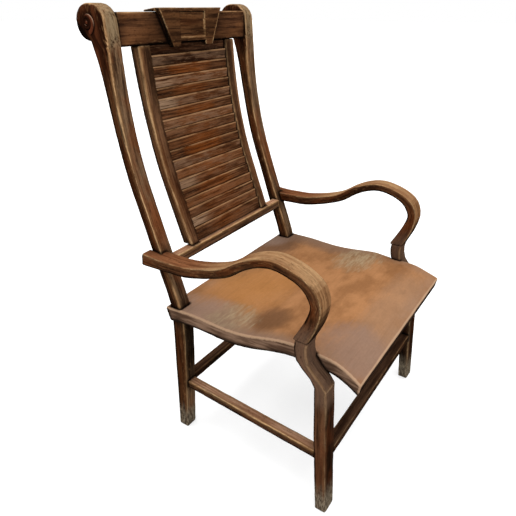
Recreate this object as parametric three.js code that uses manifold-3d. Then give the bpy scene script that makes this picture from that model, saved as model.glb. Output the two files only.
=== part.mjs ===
// A high-backed armchair in worn dark hardwood, in millimetres.
// The chair faces -Y, +X is the sitter's left hand and +Z is up.
// The origin is on the floor, midway between the sides and midway from the front to the back.

import * as THREE from 'three';
import { mergeVertices } from 'three/addons/utils/BufferGeometryUtils.js';
import Module from 'manifold-3d';

const wasm = await Module();
wasm.setup();

// Overall sizes: floor to the top of the scrolls, seat front to the back of the scrolls, arm to arm
const overallHeight = 1085;
const overallDepth = 736;
const overallWidth = 622;

// Rear posts, each one timber from the foot to the scroll
const postSpacing = 483;
const postWidth = 42;
const postFootWidth = 36.5;
const postThickness = 31;
const postArris = 5;
const scrollRadius = 39.5;
const scrollShoulder = 43;
const scrollCheek = 2;
const postFrontShares = [
  [0, 0.655], [0.092, 0.648], [0.184, 0.642], [0.318, 0.64], [0.35, 0.6475], [0.369, 0.656],
  [0.461, 0.706], [0.553, 0.756], [0.645, 0.8035], [0.737, 0.837], [0.829, 0.858], [0.922, 0.869],
  [0.96, 0.8735],
];
const postThicknessShares = [
  [0, 0.94], [0.092, 1.06], [0.184, 1.2], [0.318, 1.22], [0.369, 1.08], [0.461, 1.06],
  [0.553, 0.98], [0.645, 0.98], [0.737, 0.98], [0.829, 1.1], [0.876, 1.31],
];

// Turned eye of each scroll
const eyeRadius = 16;
const eyeRise = 3;
const eyeShares = [[0, 0.9], [0.28, 0.9], [0.36, 0.35], [0.5, 0.35], [0.62, 1], [0.86, 1], [1, 0.35]];

// Front posts, from the floor to the arm
const frontPostSpacing = 515;
const frontPostWidth = 46;
const frontPostThickness = 30;
const frontPostHeight = 444;
const frontPostArris = 5;
const frontPostShares = [
  [0, 0.061, 0.91], [0.28, 0.0695, 0.99], [0.49, 0.076, 1.03], [0.72, 0.083, 1], [0.79, 0.0885, 0.99],
  [0.815, 0.106, 0.93], [0.845, 0.126, 0.93], [0.885, 0.1455, 1], [0.935, 0.1525, 1], [0.975, 0.153, 1.02],
  [1, 0.1495, 1.04],
];

// Arms, one bent timber each from the front post round the curl to the rear post
const armHeight = 614;
const armWidth = 51;
const armThickness = 28;
const armArris = 6;
const armTaperRise = 96;
const armCurlDepth = 60;
const armOverhang = 2;
const armTenonRise = 12;
const armShares = [
  [0.024, -0.112, 1.14], [0, 0, 1.14], [-0.0486, 0.3, 1.04], [-0.064, 0.553, 0.93], [-0.0375, 0.753, 0.98],
  [0.0155, 0.871, 0.86], [0.104, 0.965, 0.79], [0.192, 1, 0.79], [0.28, 0.953, 0.79], [0.369, 0.841, 0.8],
  [0.457, 0.688, 0.86], [0.545, 0.6, 0.89], [0.634, 0.538, 0.95], [0.722, 0.494, 1], [0.81, 0.482, 1],
  [0.909, 0.476, 1.04], [1, 0.494, 1.2],
];

// Seat, one shaped board: height of its highest roll above the floor, and its thickness
const seatHeight = 400;
const seatThickness = 34;
const seatArris = 3;
const seatUndercut = 6;
const seatRearUndercut = 12;
const seatBehindPost = 8;
const seatBesidePost = 4;
const seatNotch = 7.5;
const seatTopShares = [
  [0, 0.92], [0.0135, 0.929], [0.052, 0.9525], [0.0906, 0.9725], [0.129, 0.987], [0.225, 0.9925],
  [0.36, 1], [0.418, 0.99], [0.495, 0.9715], [0.572, 0.9575], [0.649, 0.9525], [0.803, 0.9615],
  [1, 0.955],
];
const seatThicknessShares = [[0, 0.88], [0.1, 0.97], [0.3, 1], [1, 1.06]];
const seatPlanShares = [
  [0, 0.4], [0.052, 0.12], [0.0906, 0], [0.3025, 0], [0.36, 0.2], [0.418, 0.35], [0.495, 0.6],
  [0.572, 0.8], [0.726, 0.98], [0.88, 1.02], [1, 1.25],
];

// Back frame: crest rail, two stiles, a top rail between the stiles and a lower rail between the posts
const crestDrop = 18.5;
const crestHeight = 73.5;
const crestThickness = 29;
const crestSetback = 4;
const crestArris = 4;
const stileSpacing = 294;
const stileWidth = 39.5;
const stileFootWidth = 31;
const stileThickness = 26;
const stileArris = 4;
const stileSetbackTop = 6;
const stileSetbackBottom = -4;
const stileThicknessShares = [[0, 1.2], [0.35, 1.04], [0.7, 1], [1, 1.15]];
const topRailHeight = 25;
const topRailThickness = 16;
const topRailSetback = 7;
const lowerRailTop = 508;
const lowerRailHeight = 27;
const lowerRailDepth = 26;
const lowerRailProud = 4;
const lowerRailArris = 4;

// Slats, which lean forward at the top like fixed louvres, the lowest one wider than the rest
const slatCount = 18;
const slatGap = 0.4;
const slatThickness = 9;
const slatSetback = 4;
const slatLean = THREE.MathUtils.degToRad(9);
const slatFootGap = 1.6;
const slatFootExtra = 8;
const slatNose = 1.8;
const slatTenonDepth = 5;

// Headrest block, a keystone hooked over the crest rail
const blockTopWidth = 237;
const blockFootWidth = 152;
const blockProudTop = 9;
const blockProudFoot = 11;
const blockFlareTop = 8;
const blockFlareFoot = 4;
const blockCap = 9;
const blockCapFall = 5;
const blockOverhang = 6;
const blockFootDrop = 8;
const blockNotchWidth = 99;
const blockNotchHeight = 11.5;
const panelTopWidth = 98;
const panelFootWidth = 92;
const panelRise = 10;
const panelMargin = 9.5;
const panelDepth = 3;

// Stretchers
const stretcherWidth = 26;
const stretcherHeight = 21;
const stretcherLevel = 149.5;
const stretcherArris = 3;

// Joinery: depth of the tenons, their share of the rail's section, and the clearance at every joint
const tenonDepth = 8;
const tenonShare = 0.5;
const stileTenonShare = 0.35;
const fit = 0.3;

// Overrun of every cut, and how finely the curves are stepped
const overrun = 4;
const postSteps = 26;
const armSteps = 46;
const seatSteps = 34;
const stileSteps = 18;
const scrollSteps = 14;
const shoulderSteps = 5;
const lapSteps = 6;
const arrisSteps = 2;
const eyeSides = 20;

// Places worked out from the sizes above
const postInner = postSpacing / 2;
const frontPostInner = frontPostSpacing / 2;
const frontPostOuter = frontPostInner + frontPostWidth;
const armOuter = overallWidth / 2;
const armInner = armOuter - armWidth;
const scrollY = overallDepth / 2 - scrollRadius;
const scrollZ = overallHeight - scrollRadius;
const neckZ = overallHeight - 2 * scrollRadius;
const crestTop = overallHeight - crestDrop;
const crestBottom = crestTop - crestHeight;
const stileInner = stileSpacing / 2;
const sideFrame = new THREE.Matrix4().makeBasis(
  new THREE.Vector3(0, 1, 0),
  new THREE.Vector3(0, 0, 1),
  new THREE.Vector3(1, 0, 0),
);

// A smooth function through the rows of a table, whose first column is the key
function smoothTable(rows) {
  const keys = rows.map((row) => row[0]);
  const values = rows.flatMap((row) => row.slice(1));
  const curve = new THREE.CubicInterpolant(keys, values, rows[0].length - 1);
  return (key) => Array.from(curve.evaluate(key));
}

// Evenly spaced numbers from one end to the other
function span(from, to, steps) {
  return Array.from({ length: steps + 1 }, (_, i) => THREE.MathUtils.lerp(from, to, i / steps));
}

// Points of a round stretch of an outline
function arcPoints(y, z, radius, from, to, steps) {
  return span(from, to, steps).map(
    (angle) => new THREE.Vector2(y + radius * Math.cos(angle), z + radius * Math.sin(angle)),
  );
}

// Geometry to closed solid, and back
function solid(geometry) {
  const bare = geometry.clone();
  bare.deleteAttribute('normal');
  bare.deleteAttribute('uv');
  const merged = mergeVertices(bare);
  const vertProperties = new Float32Array(merged.attributes.position.array);
  const triVerts = new Uint32Array(merged.index.array);
  return new wasm.Manifold(new wasm.Mesh({ numProp: 3, vertProperties, triVerts }));
}

function geometryOf(body) {
  const { vertProperties, triVerts } = body.getMesh();
  const geometry = new THREE.BufferGeometry();
  geometry.setAttribute('position', new THREE.BufferAttribute(new Float32Array(vertProperties), 3));
  geometry.setIndex(new THREE.BufferAttribute(new Uint32Array(triVerts), 1));
  return geometry;
}

// The same piece for the other side of the chair
function mirrored(geometry) {
  const copy = geometry.clone();
  const { position } = copy.attributes;
  for (let i = 0; i < position.count; i += 1) {
    position.setX(i, -position.getX(i));
  }
  copy.setIndex(Array.from(copy.index.array).reverse());
  return copy;
}

// A piece sawn to an outline in the side view, with its long edges eased
function sidePiece(outline, fromX, toX, arris) {
  const geometry = new THREE.ExtrudeGeometry(new THREE.Shape(outline), {
    depth: toX - fromX - 2 * arris,
    bevelThickness: arris,
    bevelSize: arris,
    bevelOffset: -arris,
    bevelSegments: arrisSteps,
  });
  geometry.translate(0, 0, fromX + arris);
  return geometry.applyMatrix4(sideFrame);
}

// One rounded section of a bent timber: outer and inner are its edges in the side view
function sectionRing([outer, inner], fromX, toX, arris) {
  const into = new THREE.Vector2().subVectors(inner, outer).normalize().multiplyScalar(arris);
  const corners = [
    [toX - arris, outer, 1],
    [fromX + arris, outer, 1],
    [fromX + arris, inner, -1],
    [toX - arris, inner, -1],
  ];
  return corners.flatMap(([x, edge, side], k) => {
    const turns = span(k * Math.PI / 2, (k + 1) * Math.PI / 2, arrisSteps);
    return turns.map((turn) => {
      const point = edge.clone().addScaledVector(into, side - Math.sin(turn));
      return new THREE.Vector3(x + arris * Math.cos(turn), point.x, point.y);
    });
  });
}

// A bent timber through pairs of edge points, skinned from ring to ring and closed at both ends
function band(edges, fromX, toX, arris) {
  const rings = edges.map((pair) => sectionRing(pair, fromX, toX, arris));
  const count = rings[0].length;
  const last = (rings.length - 1) * count;
  const index = [];
  for (let row = 0; row < last; row += count) {
    for (let k = 0; k < count; k += 1) {
      const next = (k + 1) % count;
      index.push(row + k, row + count + next, row + next, row + k, row + count + k, row + count + next);
    }
  }
  for (let k = 1; k < count - 1; k += 1) {
    index.push(0, k, k + 1, last, last + k + 1, last + k);
  }
  const geometry = new THREE.BufferGeometry().setFromPoints(rings.flat());
  geometry.setIndex(index);
  return geometry;
}

// Moves every point of a piece sideways by a rule of its place
function reshaped(geometry, rule) {
  const { position } = geometry.attributes;
  for (let i = 0; i < position.count; i += 1) {
    position.setX(i, rule(position.getX(i), position.getY(i), position.getZ(i)));
  }
  return geometry;
}

// A rectangular bar along X, centred on the origin, with its long edges rounded
function bar(length, depth, height, arris) {
  const corners = [
    [depth / 2 - arris, height / 2 - arris, 0],
    [arris - depth / 2, height / 2 - arris, Math.PI / 2],
    [arris - depth / 2, arris - height / 2, Math.PI],
    [depth / 2 - arris, arris - height / 2, 1.5 * Math.PI],
  ];
  const outline = corners.flatMap(
    ([y, z, turn]) => arcPoints(y, z, arris, turn, turn + Math.PI / 2, arrisSteps),
  );
  const section = new THREE.Shape(outline);
  const geometry = new THREE.ExtrudeGeometry(section, { depth: length, bevelEnabled: false });
  geometry.translate(0, 0, -length / 2);
  return geometry.applyMatrix4(sideFrame);
}

// A square-edged block between two corners, such as a tenon or the hole for one
function block(low, high) {
  const size = new THREE.Vector3().subVectors(high, low);
  const middle = new THREE.Vector3().addVectors(low, high).multiplyScalar(0.5);
  return new THREE.BoxGeometry(size.x, size.y, size.z).translate(middle.x, middle.y, middle.z);
}

function tenonBlock(x, y, z, sizeX, sizeY, sizeZ, grow) {
  const half = new THREE.Vector3(sizeX / 2 + grow, sizeY / 2 + grow, sizeZ / 2 + grow);
  const middle = new THREE.Vector3(x, y, z);
  return solid(block(middle.clone().sub(half), middle.clone().add(half)));
}

// Faces of the rear post at any height
function depthAt(share) {
  return overallDepth * (share - 0.5);
}

const postFrontCurve = smoothTable(postFrontShares);
const neckThickness = scrollY - scrollCheek - depthAt(postFrontCurve(neckZ / overallHeight)[0]);
const postThicknessCurve = smoothTable([
  ...postThicknessShares,
  [neckZ / overallHeight, neckThickness / postThickness],
]);

function postFront(z) {
  return depthAt(postFrontCurve(z / overallHeight)[0]);
}

function postRear(z) {
  return postFront(z) + postThickness * postThicknessCurve(z / overallHeight)[0];
}

function postMiddle(z) {
  return (postFront(z) + postRear(z)) / 2;
}

// Outer side of the rear post, which tapers evenly down to the foot
function postOuter(z) {
  return postInner + THREE.MathUtils.lerp(postFootWidth, postWidth, z / overallHeight);
}

// Faces of the front post at any height
const frontPostCurve = smoothTable(frontPostShares);

function frontPostFront(z) {
  return depthAt(frontPostCurve(z / frontPostHeight)[0]);
}

function frontPostRear(z) {
  return frontPostFront(z) + frontPostThickness * frontPostCurve(z / frontPostHeight)[1];
}

function frontPostMiddle(z) {
  return (frontPostFront(z) + frontPostRear(z)) / 2;
}

// Faces of the stiles, which follow the posts
const stileThicknessCurve = smoothTable(stileThicknessShares);

function stileRise(z) {
  return (z - lowerRailTop) / (crestBottom - lowerRailTop);
}

function stileFront(z) {
  return postFront(z) + THREE.MathUtils.lerp(stileSetbackBottom, stileSetbackTop, stileRise(z));
}

function stileRear(z) {
  return stileFront(z) + stileThickness * stileThicknessCurve(stileRise(z))[0];
}

// Places of the rails between the posts
const crestY = postFront((crestTop + crestBottom) / 2) + crestSetback + crestThickness / 2;
const lowerRailFront = postFront(lowerRailTop - lowerRailHeight / 2) - lowerRailProud;
const lowerRailY = lowerRailFront + lowerRailDepth / 2;
const topRailZ = crestBottom - topRailHeight / 2;
const topRailY = stileFront(topRailZ) + topRailSetback + topRailThickness / 2;

// Rear post with its scroll
function postOutline(grow) {
  const shoulder = Math.min(scrollShoulder, scrollY - postFront(scrollZ) - postArris);
  const shoulderZ = overallHeight - shoulder;
  const shoulderY = postFront(shoulderZ) + shoulder;
  const edge = (face, side) => (z) => new THREE.Vector2(face(z) + side * grow, z);
  return [
    ...span(0, shoulderZ, postSteps).slice(0, -1).map(edge(postFront, -1)),
    ...arcPoints(shoulderY, shoulderZ, shoulder + grow, Math.PI, Math.PI / 2, shoulderSteps),
    ...arcPoints(scrollY, scrollZ, scrollRadius + grow, Math.PI / 2, -Math.PI / 2, scrollSteps),
    ...span(neckZ - scrollCheek, 0, postSteps).map(edge(postRear, 1)),
  ];
}

function postBody(grow) {
  const taper = (x, y, z) => {
    const across = (x - postInner + grow) / (postWidth + 2 * grow);
    return THREE.MathUtils.lerp(postInner - grow, postOuter(z) + grow, across);
  };
  const piece = sidePiece(postOutline(grow), postInner - grow, postInner + postWidth + grow, postArris);
  return solid(reshaped(piece, taper));
}

// The eye is turned about the scroll's axis and stands on its outer face
function scrollEye() {
  const rim = eyeShares.map(([out, up]) => new THREE.Vector2(out * eyeRadius, up * eyeRise));
  const profile = [new THREE.Vector2(0, -overrun), ...rim, new THREE.Vector2(eyeRadius, -overrun)];
  const closed = [profile[0], profile.at(-1), ...rim.toReversed()];
  const geometry = new THREE.LatheGeometry(closed, eyeSides);
  geometry.rotateZ(-Math.PI / 2).translate(postOuter(scrollZ), scrollY, scrollZ);
  return solid(geometry);
}

// Tenons of every piece that ends in a post or stile, for the pieces on the +X side
function railTenon(rail, grow) {
  const depth = rail.depth * tenonShare;
  const height = rail.height * tenonShare;
  return tenonBlock(rail.shoulder, rail.y, rail.z, 2 * tenonDepth, depth, height, grow);
}

const crestTenon = {
  shoulder: postInner, y: crestY, z: (crestTop + crestBottom) / 2, depth: crestThickness, height: crestHeight,
};
const lowerRailTenon = {
  shoulder: postInner,
  y: postMiddle(lowerRailTop - lowerRailHeight / 2),
  z: lowerRailTop - lowerRailHeight / 2,
  depth: lowerRailDepth - 2 * lowerRailArris,
  height: lowerRailHeight,
};
const topRailTenon = {
  shoulder: stileInner, y: topRailY, z: topRailZ, depth: topRailThickness, height: topRailHeight,
};
const rearStretcherTenon = {
  shoulder: postInner,
  y: postMiddle(stretcherLevel),
  z: stretcherLevel,
  depth: stretcherWidth,
  height: stretcherHeight,
};
const frontStretcherTenon = {
  shoulder: frontPostInner,
  y: frontPostMiddle(stretcherLevel),
  z: stretcherLevel,
  depth: stretcherWidth,
  height: stretcherHeight,
};

// Side stretchers run from the middle of a rear leg to the middle of a front leg
const sideRearX = (postInner + postOuter(stretcherLevel)) / 2;
const sideFrontX = (frontPostInner + frontPostOuter) / 2;
const sideRun = new THREE.Vector2(
  sideRearX - sideFrontX,
  postFront(stretcherLevel) - frontPostRear(stretcherLevel),
);

function placedOnSideRun(geometry) {
  const middleY = (postFront(stretcherLevel) + frontPostRear(stretcherLevel)) / 2;
  geometry.rotateZ(sideRun.angle());
  return solid(geometry.translate((sideRearX + sideFrontX) / 2, middleY, stretcherLevel));
}

function sideTenon(grow) {
  const length = sideRun.length() + 2 * tenonDepth + 2 * grow;
  const depth = stretcherWidth * tenonShare + 2 * grow;
  const height = stretcherHeight * tenonShare + 2 * grow;
  return placedOnSideRun(new THREE.BoxGeometry(length, depth, height));
}

function rearPost() {
  return postBody(0)
    .add(scrollEye())
    .subtract(railTenon(crestTenon, fit))
    .subtract(railTenon(lowerRailTenon, fit))
    .subtract(railTenon(rearStretcherTenon, fit))
    .subtract(sideTenon(fit));
}

// Front post with the tenon that enters the arm
function frontPostBody(grow) {
  const edge = (face, side) => (z) => new THREE.Vector2(face(z) + side * grow, z);
  const heights = span(0, frontPostHeight, postSteps);
  const front = heights.map(edge(frontPostFront, -1));
  const rear = heights.toReversed().map(edge(frontPostRear, 1));
  return solid(sidePiece([...front, ...rear], frontPostInner - grow, frontPostOuter + grow, frontPostArris));
}

function armTenon(grow) {
  const x = (frontPostInner + frontPostOuter) / 2;
  const y = frontPostMiddle(frontPostHeight);
  const sizeX = frontPostWidth * tenonShare;
  const sizeY = frontPostThickness * tenonShare - grow;
  return tenonBlock(x, y, frontPostHeight, sizeX, sizeY, 2 * armTenonRise, grow);
}

function frontPost() {
  return frontPostBody(0)
    .add(armTenon(0))
    .subtract(railTenon(frontStretcherTenon, fit))
    .subtract(sideTenon(fit));
}

// Arm: its outer edge is a smooth curve, and its inner edge lies one thickness inside it
const armJointY = frontPostFront(frontPostHeight);
const armRearZ = THREE.MathUtils.lerp(frontPostHeight, armHeight, armShares.at(-1)[1]);
const armRearY = postRear(armRearZ) + armOverhang;

function armEdges() {
  const rows = armShares.map(([reach, rise, thick]) => new THREE.Vector3(
    THREE.MathUtils.lerp(armJointY, armRearY, reach),
    THREE.MathUtils.lerp(frontPostHeight, armHeight, rise),
    thick * armThickness,
  ));
  const curve = new THREE.CatmullRomCurve3(rows, false, 'centripetal');
  return span(0, 1, armSteps).map((share) => {
    const point = curve.getPointAt(share);
    const along = curve.getTangentAt(share).setZ(0).normalize();
    const outer = new THREE.Vector2(point.x, point.y);
    return [outer, new THREE.Vector2(along.y, -along.x).multiplyScalar(point.z).add(outer)];
  });
}

// The arm narrows down its curl to the width of the front post
function armSpread(x, y, z) {
  const onCurl = y < armJointY + armCurlDepth;
  const rise = onCurl ? THREE.MathUtils.smoothstep(z, frontPostHeight, frontPostHeight + armTaperRise) : 1;
  const across = (x - armInner) / armWidth;
  const inner = THREE.MathUtils.lerp(frontPostInner, armInner, rise);
  const outer = THREE.MathUtils.lerp(frontPostOuter, armOuter, rise);
  return THREE.MathUtils.lerp(inner, outer, across);
}

// The arm's back end is lapped over the outside of the rear post and shouldered on its front
function armLap() {
  const low = armRearZ - 2 * armThickness;
  const high = armRearZ + overrun;
  const face = span(low, high, lapSteps).map((z) => new THREE.Vector2(postFront(z) - fit, z));
  const back = armRearY + overrun;
  const outline = [...face, new THREE.Vector2(back, high), new THREE.Vector2(back, low)];
  const geometry = new THREE.ExtrudeGeometry(new THREE.Shape(outline), {
    depth: postOuter(armRearZ) + fit - armInner + overrun,
    bevelEnabled: false,
  });
  return solid(geometry.translate(0, 0, armInner - overrun).applyMatrix4(sideFrame));
}

function arm() {
  const body = solid(reshaped(band(armEdges(), armInner, armOuter, armArris), armSpread));
  const below = solid(block(
    new THREE.Vector3(frontPostInner - overrun, armJointY - armCurlDepth, 0),
    new THREE.Vector3(armOuter + overrun, armJointY + armCurlDepth, frontPostHeight + fit),
  ));
  return body.subtract(below).subtract(armTenon(fit)).subtract(armLap());
}

// Seat board, its top dished from front to back and its plan drawn in between the front posts
const seatFrontY = -overallDepth / 2;
const seatRearZ = seatHeight * seatTopShares.at(-1)[1];
const seatRearY = postRear(seatRearZ) + seatBehindPost;

function seatEdges() {
  const topCurve = smoothTable(seatTopShares);
  const thicknessCurve = smoothTable(seatThicknessShares);
  const underRearY = seatRearY - seatRearUndercut;
  return span(0, 1, seatSteps).map((share) => {
    const top = seatHeight * topCurve(share)[0];
    const under = top - seatThickness * thicknessCurve(share)[0];
    return [
      new THREE.Vector2(THREE.MathUtils.lerp(seatFrontY, seatRearY, share), top),
      new THREE.Vector2(THREE.MathUtils.lerp(seatFrontY + seatUndercut, underRearY, share), under),
    ];
  });
}

function seat() {
  const waist = frontPostInner + seatNotch;
  const widest = postOuter(seatRearZ) + seatBesidePost;
  const planCurve = smoothTable(seatPlanShares);
  const plan = (x, y) => {
    const share = (y - seatFrontY) / (seatRearY - seatFrontY);
    return (x / widest) * THREE.MathUtils.lerp(waist, widest, planCurve(share)[0]);
  };
  const board = solid(reshaped(band(seatEdges(), -widest, widest, seatArris), plan));
  const post = postBody(fit);
  const frontLeg = frontPostBody(fit);
  return [post, frontLeg].reduce((rest, cutter) => {
    const other = solid(mirrored(geometryOf(cutter)));
    return rest.subtract(cutter).subtract(other);
  }, board);
}

// Stile, curved like the posts, with a tenon at each end
function stileTenon(z, y, grow) {
  const x = stileInner + stileFootWidth / 2;
  const sizeX = stileFootWidth * tenonShare;
  return tenonBlock(x, y, z, sizeX, crestThickness * stileTenonShare, 2 * tenonDepth, grow);
}

const stileFootY = lowerRailY + lowerRailArris / 2;

function stile(slats) {
  const heights = span(lowerRailTop + fit, crestBottom - fit, stileSteps);
  const front = heights.map((z) => new THREE.Vector2(stileFront(z), z));
  const rear = heights.toReversed().map((z) => new THREE.Vector2(stileRear(z), z));
  const taper = (x, y, z) => {
    const width = THREE.MathUtils.lerp(stileFootWidth, stileWidth, stileRise(z));
    return stileInner + (x - stileInner) * (width / stileWidth);
  };
  const piece = sidePiece([...front, ...rear], stileInner, stileInner + stileWidth, stileArris);
  const body = solid(reshaped(piece, taper));
  const tenoned = body.add(stileTenon(crestBottom, crestY, 0)).add(stileTenon(lowerRailTop, stileFootY, 0));
  const mortised = tenoned.subtract(railTenon(topRailTenon, fit));
  return slats.reduce((rest, place) => rest.subtract(slatTenon(place, fit)), mortised);
}

// Rails between the posts and between the stiles
function rail(place, arris, y = place.y, depth = place.depth) {
  const body = solid(bar(2 * (place.shoulder - fit), depth, place.height, arris).translate(0, y, place.z));
  const tongue = railTenon(place, 0);
  return body.add(tongue).add(solid(mirrored(geometryOf(tongue))));
}

function crestRail() {
  const hole = stileTenon(crestBottom, crestY, fit);
  return rail(crestTenon, crestArris).subtract(hole).subtract(solid(mirrored(geometryOf(hole))));
}

function lowerRail() {
  const hole = stileTenon(lowerRailTop, stileFootY, fit);
  return rail(lowerRailTenon, lowerRailArris, lowerRailY, lowerRailDepth)
    .subtract(hole)
    .subtract(solid(mirrored(geometryOf(hole))));
}

// Slats sit at equal steps along the curve of the stiles
function slatPlaces() {
  const depth = slatSetback + slatThickness / 2;
  const foot = lowerRailTop + slatFootGap;
  const head = crestBottom - topRailHeight;
  const points = span(foot, head, stileSteps).map((z) => new THREE.Vector2(stileFront(z) + depth, z));
  const curve = new THREE.SplineCurve(points);
  const pitch = (curve.getLength() - slatFootExtra) / slatCount;
  return Array.from({ length: slatCount }, (_, i) => {
    const width = i === slatCount - 1 ? pitch + slatFootExtra : pitch;
    const share = 1 - (i * pitch + width / 2) / curve.getLength();
    const turn = Math.PI / 2 - curve.getTangentAt(share).angle() - slatLean;
    return { at: curve.getPointAt(share), turn, height: width - slatGap };
  });
}

function placedSlat(geometry, place) {
  return solid(geometry.rotateX(-place.turn).translate(0, place.at.x, place.at.y));
}

function slatTenon(place, grow) {
  const length = 2 * (stileInner + slatTenonDepth + grow);
  const depth = slatThickness * tenonShare + 2 * grow;
  const height = place.height * tenonShare + 2 * grow;
  return placedSlat(new THREE.BoxGeometry(length, depth, height), place);
}

function slat(place) {
  const board = bar(2 * (stileInner - fit), slatThickness, place.height, slatNose);
  return placedSlat(board, place).add(slatTenon(place, 0));
}

// Headrest block
function loft(near, far) {
  const count = near.length;
  const points = [...near, ...far];
  const faces = THREE.ShapeUtils.triangulateShape(near.map((p) => new THREE.Vector2(p.x, p.z)), []);
  const index = faces.flatMap(([a, b, c]) => [a, b, c, c + count, b + count, a + count]);
  for (let i = 0; i < count; i += 1) {
    const next = (i + 1) % count;
    index.push(i, i + count, next + count, i, next + count, next);
  }
  const geometry = new THREE.BufferGeometry().setFromPoints(points);
  geometry.setIndex(index);
  return geometry;
}

function keystoneRing(flareTop, flareFoot, yTop, yFoot) {
  const top = crestTop + blockCap;
  const foot = crestBottom - blockFootDrop;
  const crown = foot + blockNotchHeight;
  const outline = [
    [-blockTopWidth / 2 - flareTop, top], [-blockFootWidth / 2 - flareFoot, foot],
    [-blockNotchWidth / 2, foot], [-blockNotchWidth / 2, crown],
    [blockNotchWidth / 2, crown], [blockNotchWidth / 2, foot],
    [blockFootWidth / 2 + flareFoot, foot], [blockTopWidth / 2 + flareTop, top],
  ];
  return outline.map(([x, z]) => new THREE.Vector3(
    x,
    THREE.MathUtils.mapLinear(z, foot, top, yFoot, yTop),
    z,
  ));
}

function headrestBlock() {
  const backY = crestY - crestThickness / 2 - fit;
  const front = keystoneRing(0, 0, backY - blockProudTop, backY - blockProudFoot);
  const face = solid(loft(front, keystoneRing(blockFlareTop, blockFlareFoot, backY, backY)));
  const half = blockTopWidth / 2 + blockFlareTop;
  const rearY = crestY + crestThickness / 2 + blockOverhang;
  const capRing = (y, top) => [
    new THREE.Vector3(-half, y, top), new THREE.Vector3(-half, y, crestTop + fit),
    new THREE.Vector3(half, y, crestTop + fit), new THREE.Vector3(half, y, top),
  ];
  const top = crestTop + blockCap;
  const cap = solid(loft(capRing(backY, top), capRing(rearY, top - blockCapFall)));
  return face.add(cap).subtract(headrestPanel(backY));
}

// The sunk panel in the face of the block
function headrestPanel(backY) {
  const top = crestTop + blockCap - panelMargin;
  const foot = crestBottom - blockFootDrop + blockNotchHeight + panelRise;
  const ring = (yTop, yFoot) => [
    new THREE.Vector3(-panelTopWidth / 2, yTop, top), new THREE.Vector3(-panelFootWidth / 2, yFoot, foot),
    new THREE.Vector3(panelFootWidth / 2, yFoot, foot), new THREE.Vector3(panelTopWidth / 2, yTop, top),
  ];
  const faceTop = backY - blockProudTop;
  const faceFoot = backY - blockProudFoot;
  const outside = ring(faceTop - overrun, faceFoot - overrun);
  return solid(loft(outside, ring(faceTop + panelDepth, faceFoot + panelDepth)));
}

// Side stretcher, cut to the faces of both legs
function sideStretcher() {
  const body = placedOnSideRun(bar(
    sideRun.length() + stretcherWidth,
    stretcherWidth,
    stretcherHeight,
    stretcherArris,
  ));
  return body.subtract(postBody(fit)).subtract(frontPostBody(fit)).add(sideTenon(0));
}

// Finishes
function wood(color, roughness) {
  return new THREE.MeshStandardMaterial({ color, roughness, metalness: 0 });
}

const frameWood = wood(0x4a3222, 0.62);
const seatWood = wood(0x8a6147, 0.55);
const crestWood = wood(0x4b2a1b, 0.6);
const slatWood = wood(0x5b3a26, 0.65);

// Assembly
const chair = new THREE.Group();

function addPiece(name, body, material) {
  const geometry = body instanceof THREE.BufferGeometry ? body : geometryOf(body);
  geometry.computeVertexNormals();
  const mesh = new THREE.Mesh(geometry, material);
  mesh.name = name;
  chair.add(mesh);
}

function addPair(name, body, material) {
  const geometry = geometryOf(body);
  addPiece(`${name}_left`, geometry, material);
  addPiece(`${name}_right`, mirrored(geometry), material);
}

const places = slatPlaces();
addPiece('seat', seat(), seatWood);
addPair('rear_post', rearPost(), frameWood);
addPair('front_post', frontPost(), frameWood);
addPair('arm', arm(), frameWood);
addPiece('crest_rail', crestRail(), crestWood);
addPiece('headrest_block', headrestBlock(), crestWood);
addPair('stile', stile(places), frameWood);
addPiece('top_rail', rail(topRailTenon, crestArris), slatWood);
addPiece('lower_back_rail', lowerRail(), frameWood);
places.forEach((place, i) => {
  addPiece(`slat_${String(i + 1).padStart(2, '0')}`, slat(place), slatWood);
});
addPiece('front_stretcher', rail(frontStretcherTenon, stretcherArris), frameWood);
addPiece('rear_stretcher', rail(rearStretcherTenon, stretcherArris), frameWood);
addPair('side_stretcher', sideStretcher(), frameWood);

export default chair;
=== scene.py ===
"""A high-backed armchair in worn dark hardwood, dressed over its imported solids."""

import math

import bmesh
import bpy
import numpy as np
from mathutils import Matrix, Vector
from mathutils.bvhtree import BVHTree
from mathutils.kdtree import KDTree


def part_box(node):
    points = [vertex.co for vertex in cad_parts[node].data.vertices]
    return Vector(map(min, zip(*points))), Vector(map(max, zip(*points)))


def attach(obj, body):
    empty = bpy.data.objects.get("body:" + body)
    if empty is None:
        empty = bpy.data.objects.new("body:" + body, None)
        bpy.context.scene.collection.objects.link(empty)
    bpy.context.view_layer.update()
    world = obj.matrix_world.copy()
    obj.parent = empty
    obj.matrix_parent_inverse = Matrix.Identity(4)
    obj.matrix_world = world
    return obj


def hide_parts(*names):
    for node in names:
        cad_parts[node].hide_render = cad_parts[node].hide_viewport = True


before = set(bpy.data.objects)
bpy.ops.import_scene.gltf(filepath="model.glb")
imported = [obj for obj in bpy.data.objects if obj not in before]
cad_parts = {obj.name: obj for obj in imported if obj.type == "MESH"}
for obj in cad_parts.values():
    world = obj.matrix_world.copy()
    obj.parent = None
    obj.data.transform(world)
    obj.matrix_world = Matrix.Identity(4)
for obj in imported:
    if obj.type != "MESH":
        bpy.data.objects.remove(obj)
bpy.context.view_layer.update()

MM = 0.001
ACROSS, DEEP, UP = 0, 1, 2

# The camera, fitted to the chair in the photograph: angles in degrees, shift in frame widths
camera_place = (-1073.8 * MM, -651.2 * MM, 1076 * MM)
camera_heading = -55.94
camera_fall = 22.97
camera_lens = 35.6
camera_shift = (0.0052, -0.0668)
camera_nearest = 10 * MM

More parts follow.
